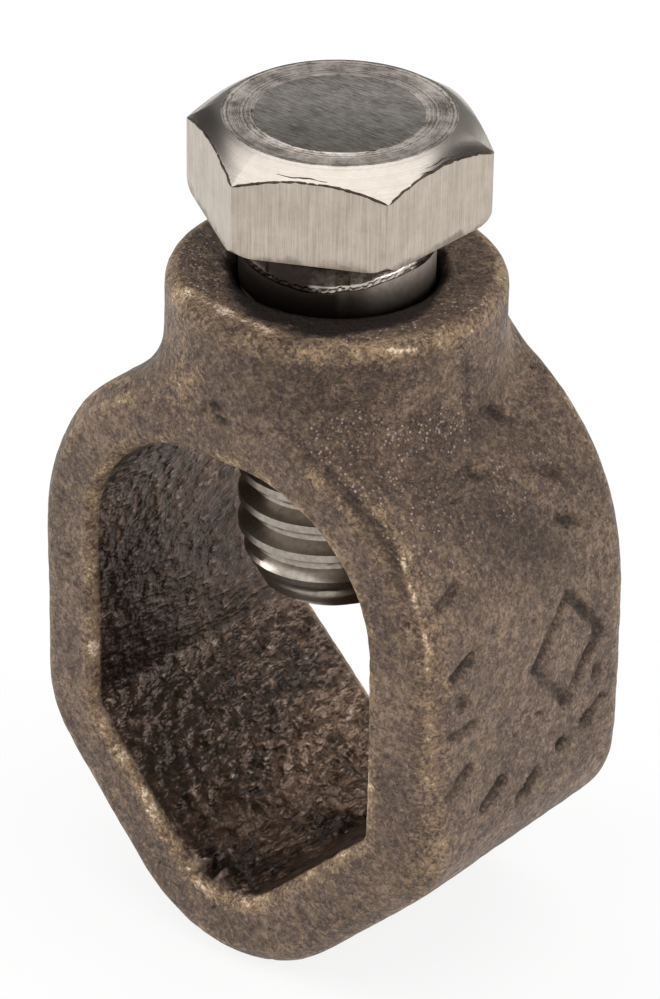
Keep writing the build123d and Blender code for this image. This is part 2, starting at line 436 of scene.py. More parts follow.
# Bolt head; the pairs are widths with their heights, and the finishes are those of its faces in slot order
head = {
    "flats": 12.7 * mm,
    "turn": 28.0,
    "height": headHeight,
    "topDiameter": 11.05 * mm,
    "chamferAngle": 33.0,
    "washerRadius": 5.8 * mm,
    "washerRise": 0.10 * mm,
    "washerDrop": 0.04 * mm,
    "footRound": (0.48 * mm, 0.60 * mm),
    "footSteps": 7,
    "annulusEdge": (0.12 * mm, 0.20 * mm),
    "discDiameter": 8.0 * mm,
    "discDepth": 0.06 * mm,
    "ridge": (0.26 * mm, 0.035 * mm),
    "ridgeSide": -95.0,
    "ridgeGrain": 0.9 * mm,
    "edgeBreak": 0.08 * mm,
    "turnSteps": 240,
    "finishes": ["drawnStainless", "turnedStainless", "facedStainless", "stampedStainless",
                 "rolledStainless", "brokenRing", "oiledStainless"],
}
headCornerRadius = head["flats"] / 2 / math.cos(math.radians(30))
chamferSlope = math.tan(math.radians(head["chamferAngle"]))
mergeDistance = 1e-7


# Spins an outline of (radius, height) points about the bolt's axis
def spunOutline(points, steps):
    bm = bmesh.new()
    corners = [bm.verts.new((r, 0.0, z)) for r, z in points]
    edges = [bm.edges.new(pair) for pair in zip(corners, corners[1:] + corners[:1])]
    bmesh.ops.spin(bm, geom=corners + edges, cent=(0, 0, 0), axis=(0, 0, 1), dvec=(0, 0, 0),
                   angle=2 * math.pi, steps=steps, use_merge=True, use_duplicate=False)
    bmesh.ops.remove_doubles(bm, verts=bm.verts, dist=mergeDistance)
    bmesh.ops.recalc_face_normals(bm, faces=bm.faces)
    return bm


# Foot of the head: the bar's corners are rounded off where it was sheared
def footArc(h):
    inward, upward = h["footRound"]
    steps = h["footSteps"]
    quarter = [math.pi / 2 * k / steps for k in range(steps + 1)]
    flatZ = headFootZ + h["washerRise"]
    return [(headCornerRadius - inward + inward * math.sin(a), flatZ + upward * (1 - math.cos(a)))
            for a in quarter]


# The stamp raised its rim on one side only: how far a place lies towards that side, raggedly
def ridgeShare(place, h):
    side = math.cos(math.atan2(place.y, place.x) - math.radians(h["ridgeSide"]))
    return side + 0.5 * noise.noise(place / h["ridgeGrain"])


def headFinish(face, h):
    middle = face.calc_center_median()
    reach = math.hypot(middle.x, middle.y)
    discRadius = h["discDiameter"] / 2
    if middle.z < headFootZ + h["washerRise"] - 0.01 * mm:
        return "oiledStainless"
    if face.normal.z < -0.95:
        return "rolledStainless"
    if face.normal.z < 0.3:
        return "drawnStainless"
    if reach < discRadius - 0.02 * mm:
        return "stampedStainless"
    if reach < discRadius + h["ridge"][0]:
        return "brokenRing" if ridgeShare(middle, h) > 0.1 else "facedStainless"
    return "facedStainless" if reach < h["topDiameter"] / 2 else "turnedStainless"


def makeHead(h):
    rise, drop = h["washerRise"], h["washerDrop"]
    bar = bmesh.new()
    turn = Matrix.Rotation(math.radians(h["turn"] - 30), 4, "Z")
    place = Matrix.Translation((0, 0, headFootZ - 2 * drop)) @ turn
    bmesh.ops.create_circle(bar, cap_ends=True, segments=6, radius=headCornerRadius, matrix=place)
    raised = bmesh.ops.extrude_face_region(bar, geom=bar.faces[:])["geom"]
    bmesh.ops.translate(bar, vec=(0, 0, h["height"] + 2 * drop),
                        verts=[v for v in raised if isinstance(v, bmesh.types.BMVert)])
    bmesh.ops.recalc_face_normals(bar, faces=bar.faces)
    topRadius, discRadius = h["topDiameter"] / 2, h["discDiameter"] / 2
    edgeWidth, annulusStart = h["annulusEdge"]
    ridgeWidth, ridgeHeight = h["ridge"]
    wide = headCornerRadius * 1.02
    annulusZ = headTopZ - ridgeHeight
    turned = spunOutline([
        (0, headFootZ - drop),
        (h["washerRadius"] - 0.06 * mm, headFootZ - drop),
        (h["washerRadius"], headFootZ - drop + 0.05 * mm),
        (h["washerRadius"], headFootZ + rise),
        *footArc(h),
        (wide, headFootZ + h["footRound"][1] * 1.3),
        (wide, headTopZ - (wide - topRadius) * chamferSlope),
        (topRadius, headTopZ),
        (topRadius - edgeWidth, headTopZ),
        (topRadius - annulusStart, annulusZ),
        (discRadius + ridgeWidth, annulusZ),
        (discRadius + ridgeWidth * 0.6, headTopZ),
        (discRadius + ridgeWidth * 0.4, headTopZ),
        (discRadius, headTopZ - h["discDepth"]),
        (0, headTopZ - h["discDepth"]),
    ], h["turnSteps"])
    cutter = newObject("turning", meshOf(turned, "turning"))
    mesh = appliedMesh(meshOf(bar, "bar"), "BOOLEAN",
                       {"operation": "INTERSECT", "solver": "EXACT", "object": cutter})
    bpy.data.objects.remove(cutter)
    bm = bmesh.new()
    bm.from_mesh(mesh)
    bmesh.ops.remove_doubles(bm, verts=bm.verts, dist=mergeDistance)
    sharp = [e for e in bm.edges if len(e.link_faces) == 2 and e.calc_face_angle() > math.radians(24)
             and min(math.hypot(v.co.x, v.co.y) for v in e.verts) > topRadius + 0.1 * mm]
    bmesh.ops.bevel(bm, geom=sharp, offset=h["edgeBreak"], offset_type="OFFSET", segments=2, profile=0.5,
                    affect="EDGES", material=-1, clamp_overlap=True)
    for v in bm.verts:
        reach = math.hypot(v.co.x, v.co.y)
        if v.co.z > annulusZ + 0.01 * mm and discRadius < reach < discRadius + ridgeWidth:
            v.co.z = annulusZ + ridgeHeight * float(smoothStep(ridgeShare(v.co, h), -0.1, 0.6))
    for face in bm.faces:
        face.material_index = h["finishes"].index(headFinish(face, h))
        face.smooth = True
    mesh = meshOf(bm, "boltHead")
    mesh.set_sharp_from_angle(angle=math.radians(40))
    piece = finishedPiece("boltHead", mesh, [steels[finish] for finish in h["finishes"]], "bolt")
    piece.modifiers.new("evenShading", "WEIGHTED_NORMAL").keep_sharp = True
    return piece


boltHead = makeHead(head)
print("stage: bolt head")

# Ragged line of metal that the turning tool leaves where the cone meets the flats, one thickness for
# each side, and slivers on the cone, each from one angle to another with its distance from the top's edge
burr = {
    "seed": 7,
    "radius": 0.064 * mm,
    "sides": (0.3, 0.2, 0.3, 1.0, 1.0, 1.0),
    "sink": 0.045 * mm,
    "step": 1.0,
    "uneven": (0.22 * mm, 0.5),
    "stray": (0.4 * mm, 0.04 * mm),
    "slivers": [(-77.0, -55.0, 0.66 * mm), (-14.0, 13.0, 0.78 * mm), (-10.0, 6.0, 0.62 * mm)],
    "sliverRadius": 0.035 * mm,
    "sliverSteps": 30,
    "sliverBow": 0.12 * mm,
    "sliverWave": 0.03 * mm,
}


# Point on the cone of the head
def conePoint(reach, turn, drop=0.0):
    height = headTopZ - (reach - head["topDiameter"] / 2) * chamferSlope - drop
    return reach * math.cos(turn), reach * math.sin(turn), height


def addBurrLine(curve, points, thickness, fadeShare):
    spline = curve.splines.new("POLY")
    spline.points.add(len(points) - 1)
    last = len(points) - 1
    unevenSize, uneven = burr["uneven"]
    straySize, strayReach = burr["stray"]
    for number, (point, corner) in enumerate(zip(points, spline.points)):
        fade = min(1.0, min(number, last - number) / (fadeShare * last) + 0.25)
        rough = 1.0 + uneven * noise.noise(Vector(point) / unevenSize)
        stray = Vector(noise.noise_vector(Vector(point) / straySize)) * strayReach
        corner.co = (*(Vector(point) + stray), 1.0)
        corner.radius = thickness / burr["radius"] * rough * fade


def makeBurrs(b):
    noise.seed_set(b["seed"])  # keeps the stray of the line the same in each run
    curve = bpy.data.curves.new("headBurr", "CURVE")
    curve.dimensions = "3D"
    curve.bevel_depth = b["radius"]
    curve.bevel_resolution = 2
    curve.use_fill_caps = True
    for side, thickness in enumerate(b["sides"]):
        points = []
        for k in range(int(60 / b["step"]) + 1):
            angle = -30 + k * b["step"]
            reach = head["flats"] / 2 / math.cos(math.radians(angle)) - b["radius"] * 0.5
            points.append(conePoint(reach, math.radians(head["turn"] + 30 + side * 60 + angle), b["sink"]))
        addBurrLine(curve, points, b["radius"] * thickness, 0.04)
    for start, end, rise in b["slivers"]:
        points = []
        for k in range(b["sliverSteps"] + 1):
            share = k / b["sliverSteps"]
            reach = head["topDiameter"] / 2 + rise + b["sliverBow"] * (share - 0.5) ** 2
            reach += b["sliverWave"] * math.sin(k / 4)
            points.append(conePoint(reach, math.radians(start + (end - start) * share)))
        addBurrLine(curve, points, b["sliverRadius"], 0.5)
    holder = newObject("headBurrCurve", curve)
    mesh = evaluatedMesh(holder)
    bpy.data.objects.remove(holder)
    for polygon in mesh.polygons:
        polygon.use_smooth = True
    return finishedPiece("headBurr", mesh, [steels["burrStainless"]], "bolt")


headBurr = makeBurrs(burr)
print("stage: burrs")

# Shank: a plain neck, then a right-handed three-eighths coarse thread that runs out at the tip
thread = {
    "pitch": 1.5875 * mm,
    "crestRadius": 4.62 * mm,
    "rootRadius": 3.96 * mm,
    "rootSag": 0.04 * mm,
    "crestShare": 0.24,
    "rootShare": 0.20,
    "tipRadius": 3.5 * mm,
    "tipHeight": 2.1 * mm,
    "stepsPerTurn": 96,
    "start": -45.0,
    "nicks": (0.30 * mm, 0.03 * mm),
}
# The neck flares under the head and has a rolled ring, with its drop, half height and rise, which
# climbs like the thread. Angles are degrees round the bolt, from the side that faces the camera
neck = {
    "radius": 4.69 * mm,
    "length": 3.6 * mm,
    "taper": 0.9 * mm,
    "steps": 480,
    "flare": (0.95 * mm, 0.9 * mm),
    "flareSteps": 6,
    "flareSink": 0.05 * mm,
    "roll": (1.72 * mm, 0.19 * mm, 0.06 * mm),
    "rollSteps": 8,
    "rollLean": ((-180, -90, -20, 0, 42, 70, 120, 180), (0.0, 0.0, -0.30, -0.26, 0.24, 0.2, 0.0, 0.0)),
    "lumps": (0.12 * mm, 0.09 * mm),
    "facing": -50.0,
    "waver": (0.8 * mm, 10),
    "litFrom": (0, 32),
    "litTo": (110, 150),
    "mouthGreaseAndShade": (0.7, 80, 0.25),
    "rollLit": (20, 20, 38),
    "flareLit": (5, 60),
}


def makeThread(t):
    low, high = boltLow.z, headFootZ - neck["length"]
    crest, root, pitch = t["crestRadius"], t["rootRadius"], t["pitch"]
    turns = math.ceil((high - low) / pitch) + 3
    rise = (1 - t["crestShare"] - t["rootShare"]) / 2
    flank = t["rootShare"] + rise
    middle = (root + crest) / 2
    section = [
        (root, 0.0), (root - t["rootSag"], t["rootShare"] / 2), (root, t["rootShare"]),
        (middle, t["rootShare"] + rise / 2), (crest, flank), (crest, flank + t["crestShare"] / 2),
        (crest, flank + t["crestShare"]), (middle, 1 - rise / 2), (root, 1.0),
    ]
    bm = bmesh.new()
    turn = Matrix.Rotation(math.radians(t["start"]), 4, "Z")
    base = low - 1.5 * pitch
    corners = [bm.verts.new(turn @ Vector((r, 0.0, base + z * pitch))) for r, z in section]
    edges = [bm.edges.new(pair) for pair in zip(corners, corners[1:])]
    bmesh.ops.spin(bm, geom=corners + edges, cent=(0, 0, 0), axis=(0, 0, 1),
                   dvec=(0, 0, pitch / t["stepsPerTurn"]), angle=2 * math.pi * turns,
                   steps=t["stepsPerTurn"] * turns, use_merge=False, use_duplicate=False)
    bmesh.ops.remove_doubles(bm, verts=bm.verts, dist=1e-6)
    # the blank is turned down towards its tip, so the last threads fade out there; handling has
    # nicked the crests
    nickSize, nickDepth = t["nicks"]
    for v in bm.verts:
        share = min(1.0, max(0.0, (v.co.z - low) / t["tipHeight"]))
        limit = t["tipRadius"] + (crest - t["tipRadius"]) * share
        reach = math.hypot(v.co.x, v.co.y)
        kept = min(reach, limit) + nickDepth * min(0.0, noise.noise(v.co / nickSize))
        v.co.x *= kept / reach
        v.co.y *= kept / reach
    for height, side in ((low, "clear_inner"), (high, "clear_outer")):
        bmesh.ops.bisect_plane(bm, geom=bm.verts[:] + bm.edges[:] + bm.faces[:], dist=1e-8,
                               plane_co=(0, 0, height), plane_no=(0, 0, 1), **{side: True})
        rim = [e for e in bm.edges if e.is_boundary and all(abs(v.co.z - height) < 1e-6 for v in e.verts)]
        bmesh.ops.contextual_create(bm, geom=rim)
    bmesh.ops.triangulate(bm, faces=[f for f in bm.faces if len(f.verts) > 4])
    bmesh.ops.recalc_face_normals(bm, faces=bm.faces)
    for face in bm.faces:
        face.smooth = True
    mesh = meshOf(bm, "boltThread")
    mesh.set_sharp_from_angle(angle=math.radians(30))
    return finishedPiece("boltThread", mesh, [steels["rolledStainless"]], "bolt")


# Old grease and painted shade darken the neck on its shaded side, round the mouth of the hole and under the
# head; only bands on the lit side stay lighter
def greaseAndShadeOn(place, side, n):
    rollDrop, rollHalf, _ = n["roll"]
    wedge, wedgeReach, wedgeFade = n["mouthGreaseAndShade"]
    rollMiddle, *rollSpan = n["rollLit"]
    belowHead = headFootZ - place.z
    if belowHead < rollDrop - 1.1 * rollHalf:
        return 0.6 + 0.35 * float(smoothStep(abs(side - rollMiddle), *n["flareLit"]))
    if belowHead < rollDrop + 1.1 * rollHalf:
        return float(smoothStep(abs(side - rollMiddle), *rollSpan))
    level = (place.z - bodyHigh.z) / mm - wedge * max(0.0, 1 - abs(side) / wedgeReach)
    shares = (1 - smoothStep(side, *n["litFrom"]), 1 - smoothStep(level, 0.0, wedgeFade),
              smoothStep(side, *n["litTo"]))
    return 0.95 * float(max(shares))


def makeNeck(n):
    foot, plain = headFootZ, n["radius"]
    tall, reach = n["flare"]
    rollDrop, rollHalf, rollRise = n["roll"]
    quarter = [math.pi / 2 * k / n["flareSteps"] for k in range(n["flareSteps"] + 1)]
    half = [math.pi * k / n["rollSteps"] for k in range(n["rollSteps"] + 1)]
    bm = spunOutline([
        (0, foot - n["length"] - n["taper"]),
        (thread["rootRadius"], foot - n["length"] - n["taper"]),
        (plain, foot - n["length"]),
        (plain, foot - rollDrop - 1.2 * rollHalf),
        *[(plain + rollRise * math.sin(a), foot - rollDrop - rollHalf * math.cos(a)) for a in half],
        *[(plain + reach * (1 - math.cos(a)), foot - tall * (1 - math.sin(a))) for a in quarter],
        (plain + reach, foot + n["flareSink"]),
        (0, foot + n["flareSink"]),
    ], n["steps"])
    for face in bm.faces:
        below = foot - face.calc_center_median().z - rollDrop
        face.smooth = True
        face.material_index = 0 if below > rollHalf else 2 if below > -rollHalf else 1
    lumpSize, lumpHeight = n["lumps"]
    waverSize, waver = n["waver"]
    greaseAndShade = bm.verts.layers.float.new("greaseAndShade")
    for v in bm.verts:
        across = math.hypot(v.co.x, v.co.y)
        fromRoll = abs(v.co.z - foot + rollDrop)
        share = max(0.0, 1.0 - fromRoll / rollHalf)
        side = (math.degrees(math.atan2(v.co.y, v.co.x)) - n["facing"] + 180) % 360 - 180
        side += waver * noise.noise(v.co / waverSize)
        v[greaseAndShade] = greaseAndShadeOn(v.co, side, n)
        if across > plain * 0.9:
            if share > 0:
                lump = lumpHeight * share * (noise.noise(v.co / lumpSize) - 0.3)
                v.co += Vector((v.co.x, v.co.y, 0)) / across * lump
            if fromRoll < 1.3 * rollHalf:
                v.co.z += float(np.interp(side, *n["rollLean"])) * mm
    mesh = meshOf(bm, "boltNeck")
    mesh.set_sharp_from_angle(angle=math.radians(60))
    materials = [steels[finish] for finish in ("shankStainless", "oiledStainless", "turnedStainless")]
    return finishedPiece("boltNeck", mesh, materials, "bolt")


boltThread = makeThread(thread)
boltNeck = makeNeck(neck)
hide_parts("clamp_bolt")
print("stage: thread and neck")

# Casting: the solid's own form, remeshed, then roughened as sand leaves it. A pair of a size and a
# depth is a grain of its skin; plain numbers are millimetres from the rod's axis, the front at -Y
casting = {
    "voxel": 0.21 * mm,
    "roundings": 13,
    "softSpan": (1.2, 2.2),
    "softBelow": 23.0,
    "proudSmoothings": 6,
    "sag": (7.0 * mm, 0.06 * mm),
    "lump": (2.2 * mm, 0.022 * mm),
    "pebble": (0.6 * mm, 0.022 * mm),
    "wallPebble": (0.6 * mm, 0.07 * mm),
    "floorPebble": (0.8 * mm, 0.16 * mm),
    "openingHalf": 8.7,
    "archTop": 17.3,
    "seatApex": -8.98,
    "middleZ": 6.0,
    "insideBelow": 17.6,
    "insideFacing": (0.15, 0.5),
    "floorSpan": (-1.0, 2.0),
    "faceSpan": (6.4, 7.9),
    "mouthRadius": 5.7 * mm,
    "mouthAbove": 16.5,
    "flashAt": (-0.9, -7.0, -7.2),
    "flashSize": (2.4, 0.8, 1.2),
    "flashGrain": 0.7 * mm,
    "flashMost": 0.8,
    "sinkAt": (0.3, 0.4, -7.2),
    "sinkSize": (1.6, 2.4, 1.8),
    "sinkGrain": 0.45 * mm,
    "sinkDepth": 0.5 * mm,
    "markDepth": 0.33 * mm,
    "markWidth": 0.46,
    "markFacing": (0.35, 0.6),
    "markRagged": (0.5 * mm, 0.16),
    "markFade": (1.6 * mm, 0.5),
    "markBeyond": 8.0,
    "pipRadius": 0.15,
    "clouds": (1.4 * mm, 0.5 * mm),
    "edgeSpan": (0.004, 0.035),
    "edgeWear": (0.46, 0.30),
    "polishAndHighlightWear": (0.85, 0.5),
    "lipWear": (0.62, 0.35),
    "lipSpan": (-0.75, -0.45),
    "faceCrown": (8.3, 0.7, 12.8),
    "valleySpan": (0.01, 0.06),
    "sootAndShadeWidth": 0.6 * mm,
    "sootAndShadeRadius": (5.0 * mm, 1.6 * mm),
    "sootAndShadeSide": (0.64, -0.77),
    "sootAndShadeAbove": 23.8,
    "insideSootAndShade": 0.56,
    "lessAtRear": (0.10, -1.0, 5.5),
    "lessInArch": (0.40, 5.0, 13.0),
    "lessOnFloor": (0.56, 3.2, 6.4),
    "lessOnRearWall": (0.10, (-3.0, 1.0), (6.0, 9.0)),
    "sootAndShadeGrain": 0.15,
    "hollowMost": 1.15,
}
# Streaks in millimetres, from one place to another, with their reach and amount: what rubbing polished,
# painted near white as a highlight ...
polishAndHighlightStreaks = [
    ((6.7, -4.5, 24.5), (7.5, -3.1, 24.3), 0.20, 0.95),
    ((-3.7, -6.6, 24.75), (-1.1, -7.0, 24.8), 0.30, 0.85),
    ((-1.1, -7.0, 24.8), (2.1, -7.05, 24.8), 0.36, 1.1),
    ((2.1, -7.05, 24.8), (5.7, -5.3, 24.7), 0.22, 0.80),
    ((10.2, -7.18, 15.9), (10.9, -7.27, 14.5), 0.17, 1.0),
    ((10.9, -7.27, 14.5), (11.5, -7.26, 13.2), 0.15, 1.0),
    ((11.5, -7.26, 13.2), (12.0, -7.25, 11.6), 0.15, 0.85),
    ((12.0, -7.25, 11.6), (12.4, -7.3, 6.0), 0.32, 0.70),
    ((12.4, -7.3, 6.0), (12.4, -7.2, -2.0), 0.60, 0.64),
    ((-2.6, -8.2, 23.0), (-2.2, -8.3, 20.2), 1.5, 0.52),
    ((-4.5, -8.3, 17.8), (3.5, -8.3, 18.1), 0.9, 0.24),
]
# ... where the skin is granular, with most of the painted glints ...
granularStreaks = [
    ((5.4, -6.6, 20.3), (8.1, -0.9, 19.5), 0.9, 1.0),
    ((4.9, -7.5, 20.3), (8.9, -6.95, 17.7), 0.40, 1.0),
    ((8.9, -6.95, 17.7), (10.2, -7.18, 15.9), 0.35, 1.0),
    ((9.8, 0.4, 16.8), (10.7, 0.3, 15.6), 0.6, 0.9),
    ((10.0, 3.2, 16.6), (10.4, 3.6, 16.0), 0.6, 0.7),
    ((7.8, -4.0, 18.4), (10.0, -4.5, 16.4), 1.6, 0.55),
    ((-6.6, -3.0, 24.8), (-3.0, -6.5, 24.8), 0.8, 0.9),
    ((5.0, -5.0, 24.8), (6.8, 1.5, 24.8), 0.8, 0.7),
]
# ... and where the skin is darker, with the depth of a groove or pit as well
darkStreaks = [
    ((-0.5, -8.3, 20.4), (-0.3, -8.3, 20.3), 0.20, 0.95, 0.25),
    ((-0.2, -8.3, 19.8), (0.1, -8.3, 19.75), 0.17, 0.95, 0.22),
    ((3.9, -7.9, 20.3), (6.0, -7.68, 19.2), 0.22, 0.6, 0.10),
    ((6.0, -7.68, 19.2), (7.7, -7.58, 18.1), 0.24, 0.7, 0.14),
    ((7.7, -7.58, 18.1), (9.0, -7.45, 17.1), 0.24, 0.7, 0.14),
    ((9.0, -7.45, 17.1), (10.0, -7.45, 15.8), 0.22, 0.6, 0.12),
    ((10.0, -7.45, 15.8), (10.8, -7.5, 13.9), 0.18, 0.4, 0.06),
    ((-0.3, -8.0, 24.4), (3.2, -7.45, 24.3), 0.34, 0.75, 0.0),
    ((1.6, -8.0, 22.6), (6.2, -6.2, 20.2), 1.8, 0.42, 0.0),
    ((9.3, -3.0, 17.2), (12.0, 2.0, 13.2), 1.8, 0.50, 0.0),
    ((9.2, 3.5, 17.0), (11.2, 5.5, 14.6), 1.3, 0.42, 0.0),
    ((8.4, -2.0, 18.6), (9.2, 5.0, 17.6), 2.2, 0.32, 0.0),
    ((-8.0, -2.4, 23.6), (-7.2, -4.0, 20.6), 2.0, 0.55, 0.0),
    ((8.2, -0.3, 22.7), (8.3, 0.1, 19.2), 0.22, 0.65, 0.06),
    ((8.2, 0.2, 19.2), (8.9, 1.0, 18.0), 0.5, 0.5, 0.08),
]
# Plain foundry marks on the +X side, as (y, z) ends in millimetres: short bars, pips and a lozenge
sideBars = [
    (-6.3, 13.4, -4.7, 13.9), (-6.2, 9.8, -4.8, 10.4),
    (-6.3, 6.6, -4.7, 6.6), (-6.2, 3.2, -4.8, 4.2),
    (-3.6, 1.2, -2.2, 2.2), (-0.8, 0.3, 0.5, 1.3), (4.0, 2.4, 5.4, 3.2),
    (2.5, 10.4, 5.0, 7.4), (5.0, 7.4, 2.5, 4.4), (2.5, 4.4, 0.0, 7.4), (0.0, 7.4, 2.5, 10.4),
    (2.2, 16.6, 3.8, 15.8), (3.0, 14.0, 4.6, 13.2), (1.2, 19.2, 2.8, 18.6), (-0.9, 17.4, 0.5, 16.8),
]
sidePips = [(-5.5, 8.2), (2.4, 2.0), (4.9, 5.0)]


def castingMesh(c):
    bm = bmesh.new()
    bm.from_mesh(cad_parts["clamp_body"].data)
    bmesh.ops.remove_doubles(bm, verts=bm.verts, dist=1e-6)
    return appliedMesh(meshOf(bm, "castingSource"), "REMESH", {"mode": "VOXEL", "voxel_size": c["voxel"]})


def readVectors(points, name):
    values = np.zeros(len(points) * 3, np.float32)
    points.foreach_get(name, values)
    return values.reshape(-1, 3).astype(float)


def writePlaces(mesh, places):
    mesh.vertices.foreach_set("co", places.astype(np.float32).ravel())
    mesh.update()


def neighbourMean(values, edges):
    count = len(values)
    total = np.zeros(values.shape)
    np.add.at(total, edges[:, 0], values[edges[:, 1]])
    np.add.at(total, edges[:, 1], values[edges[:, 0]])
    shared = np.bincount(edges.ravel(), minlength=count)
    return total / shared.reshape((-1,) + (1,) * (values.ndim - 1))


# Noise of a size at each place; the shift picks a part of the noise that nothing else reads
def noiseAt(places, size, shift=0.0):
    return np.array([noise.noise(Vector(p)) for p in places / size + shift])


# The rest works on points in millimetres
def mound(points, middle, size):
    return np.exp(-((points - middle) ** 2 / size).sum(1))


def segmentDistance(y, z, ends):
    y0, z0, y1, z1 = ends
    wayY, wayZ = y1 - y0, z1 - z0
    along = np.clip(((y - y0) * wayY + (z - z0) * wayZ) / (wayY ** 2 + wayZ ** 2), 0, 1)
    return np.hypot(y - y0 - along * wayY, z - z0 - along * wayZ)


def streakShare(points, streaks):
    share = np.zeros(len(points))
    for start, end, reach, amount in streaks:
        way = np.subtract(end, start)
        along = np.clip((points - start) @ way / (way @ way), 0, 1)
        away = np.linalg.norm(points - start - along[:, None] * way, axis=1)
        share = np.maximum(share, amount * np.exp(-(away / reach) ** 2 / 2))
    return share


def markShare(points, facing, c):
    x, y, z = points.T
    raggedSize, ragged = c["markRagged"]
    fadeSize, fade = c["markFade"]
    bars = [segmentDistance(y, z, ends) for ends in sideBars]
    pips = [np.hypot(y - pipY, z - pipZ) - c["pipRadius"] for pipY, pipZ in sidePips]
    away = np.minimum.reduce(bars + pips) + ragged * noiseAt(points * mm, raggedSize, 61.0)
    share = (1 - smoothStep(away, 0.05, c["markWidth"])) * smoothStep(facing, *c["markFacing"])
    return share * (x > c["markBeyond"]) * (0.75 + fade * noiseAt(points * mm, fadeSize, 67.0))


def makeCasting(c):
    mesh = castingMesh(c)
    edges = np.zeros(len(mesh.edges) * 2, np.int64)
    mesh.edges.foreach_get("vertices", edges)
    edges = edges.reshape(-1, 2)
    places = readVectors(mesh.vertices, "co")
    # sand rounds the outer edges more than those of the opening
    x, y, z = places.T / mm
    fromOpening = np.maximum.reduce([
        abs(x) - c["openingHalf"], z - c["archTop"], (abs(x) - z + c["seatApex"]) / math.sqrt(2)])
    soft = (0.5 * smoothStep(fromOpening, *c["softSpan"]) * (z < c["softBelow"]))[:, None]
    places = 0.5 * places + 0.5 * neighbourMean(places, edges)
    for _ in range(c["roundings"]):
        places = places + soft * (neighbourMean(places, edges) - places)
    writePlaces(mesh, places)
    normals = readVectors(mesh.vertices, "normal")
    # how far each point stands above its neighbours tells edges from hollows
    proud = ((places - neighbourMean(places, edges)) * normals).sum(1)
    for _ in range(c["proudSmoothings"]):
        proud = 0.4 * proud + 0.6 * neighbourMean(proud, edges)
    proud = proud / c["voxel"]
    smoothPoints = places / mm
    x, y, z = smoothPoints.T
    across = np.hypot(x, y) * mm
    rise = z - c["middleZ"]
    inward = -(normals[:, 0] * x + normals[:, 2] * rise) / (np.hypot(x, rise) + 1e-6)
    inside = smoothStep(inward, *c["insideFacing"]) * (z < c["insideBelow"])
    floor = inside * smoothStep(-z, *c["floorSpan"])
    quiet = np.where((across < c["mouthRadius"]) & (z > c["mouthAbove"]), 0.0, 1.0)
    shift = c["sag"][1] * (noiseAt(places, c["sag"][0]) - 0.5)
    shift += c["lump"][1] * noiseAt(places, c["lump"][0], 11.0)
    shift += c["pebble"][1] * noiseAt(places, c["pebble"][0], 23.0)
    wallGrain = noiseAt(places, c["wallPebble"][0], 37.0)
    floorGrain = noiseAt(places, c["floorPebble"][0], 41.0) + 0.5 * wallGrain
    within = inside * (1 - 0.85 * smoothStep(abs(y), *c["faceSpan"]))
    shift += within * (c["wallPebble"][1] * wallGrain + floor * c["floorPebble"][1] * floorGrain)
    # flash along the front of the seat, and a sink hole in its floor
    flash = mound(smoothPoints, c["flashAt"], c["flashSize"])
    flashHeight = flash * np.maximum(0, 0.5 + 1.9 * noiseAt(places, c["flashGrain"], 53.0))
    shift += mm * np.minimum(c["flashMost"], flashHeight)
    sink = mound(smoothPoints, c["sinkAt"], c["sinkSize"])
    sink = smoothStep(sink + 0.7 * noiseAt(places, c["sinkGrain"], 59.0), 0.35, 0.90)
    shift -= c["sinkDepth"] * sink
    mark = markShare(smoothPoints, normals[:, 0], c)
    shift -= c["markDepth"] * mark
    dark = streakShare(smoothPoints, [streak[:4] for streak in darkStreaks])
    shift -= mm * streakShare(smoothPoints, [streak[:3] + streak[4:] for streak in darkStreaks])
    places = places + normals * (shift * quiet)[:, None]
    # the skin stays inside the solid's own box
    places = np.clip(places, np.array(bodyLow) + 1e-5, np.array(bodyHigh) - 1e-5)
    writePlaces(mesh, places)
    cloudSize, smallCloud = c["clouds"]
    cloud = noiseAt(places, cloudSize, 71.0) + 0.6 * noiseAt(places, smallCloud, 73.0)
    edgeWear, polishAndHighlightWear, lipWear = (
        c[name][0] + c[name][1] * cloud for name in ("edgeWear", "polishAndHighlightWear", "lipWear"))
    edge = smoothStep(proud, *c["edgeSpan"]) * edgeWear
    # rubbed polish on the rim and ridges, with a painted highlight on it
    polish = streakShare(places / mm, polishAndHighlightStreaks) * polishAndHighlightWear
    # the broken edges of the opening belong to the skin outside, and are rubbed
    faceY, crown, halfWidth = c["faceCrown"]
    lip = smoothStep(abs(y) - faceY + crown * (x / halfWidth) ** 2, *c["lipSpan"])
    core = inside * (1 - lip)
    worn = np.maximum.reduce([edge * (1 - 0.5 * core), inside * lip * lipWear, polish])
    # soot and painted shade round the mouth of the hole, under the head, reach furthest on the side towards
    # the front
    least, more = c["sootAndShadeRadius"]
    facing = np.maximum(0, (x * c["sootAndShadeSide"][0] + y * c["sootAndShadeSide"][1]) * mm / (across + 1e-9))
    sootAndShadeEdge = across - least - more * facing ** 2 + 0.5 * mm * cloud
    mouth = (1 - smoothStep(sootAndShadeEdge, 0, c["sootAndShadeWidth"])) * (z > c["sootAndShadeAbove"])
    worn = np.maximum(np.clip(worn, 0, 1) * (1 - mouth), 0.9 * np.clip(polish, 0, 1))
    # inside, soot and painted shade darken the opening, less at the rear, in the arch and on the floor
    sootAndShade = c["insideSootAndShade"]
    for along, (less, *span) in ((y, c["lessAtRear"]), (z, c["lessInArch"]), (-z, c["lessOnFloor"])):
        sootAndShade = sootAndShade - less * smoothStep(along, *span)
    less, rearSpan, wallSpan = c["lessOnRearWall"]
    sootAndShade -= less * smoothStep(y, *rearSpan) * smoothStep(z, *wallSpan) + c["sootAndShadeGrain"] * wallGrain
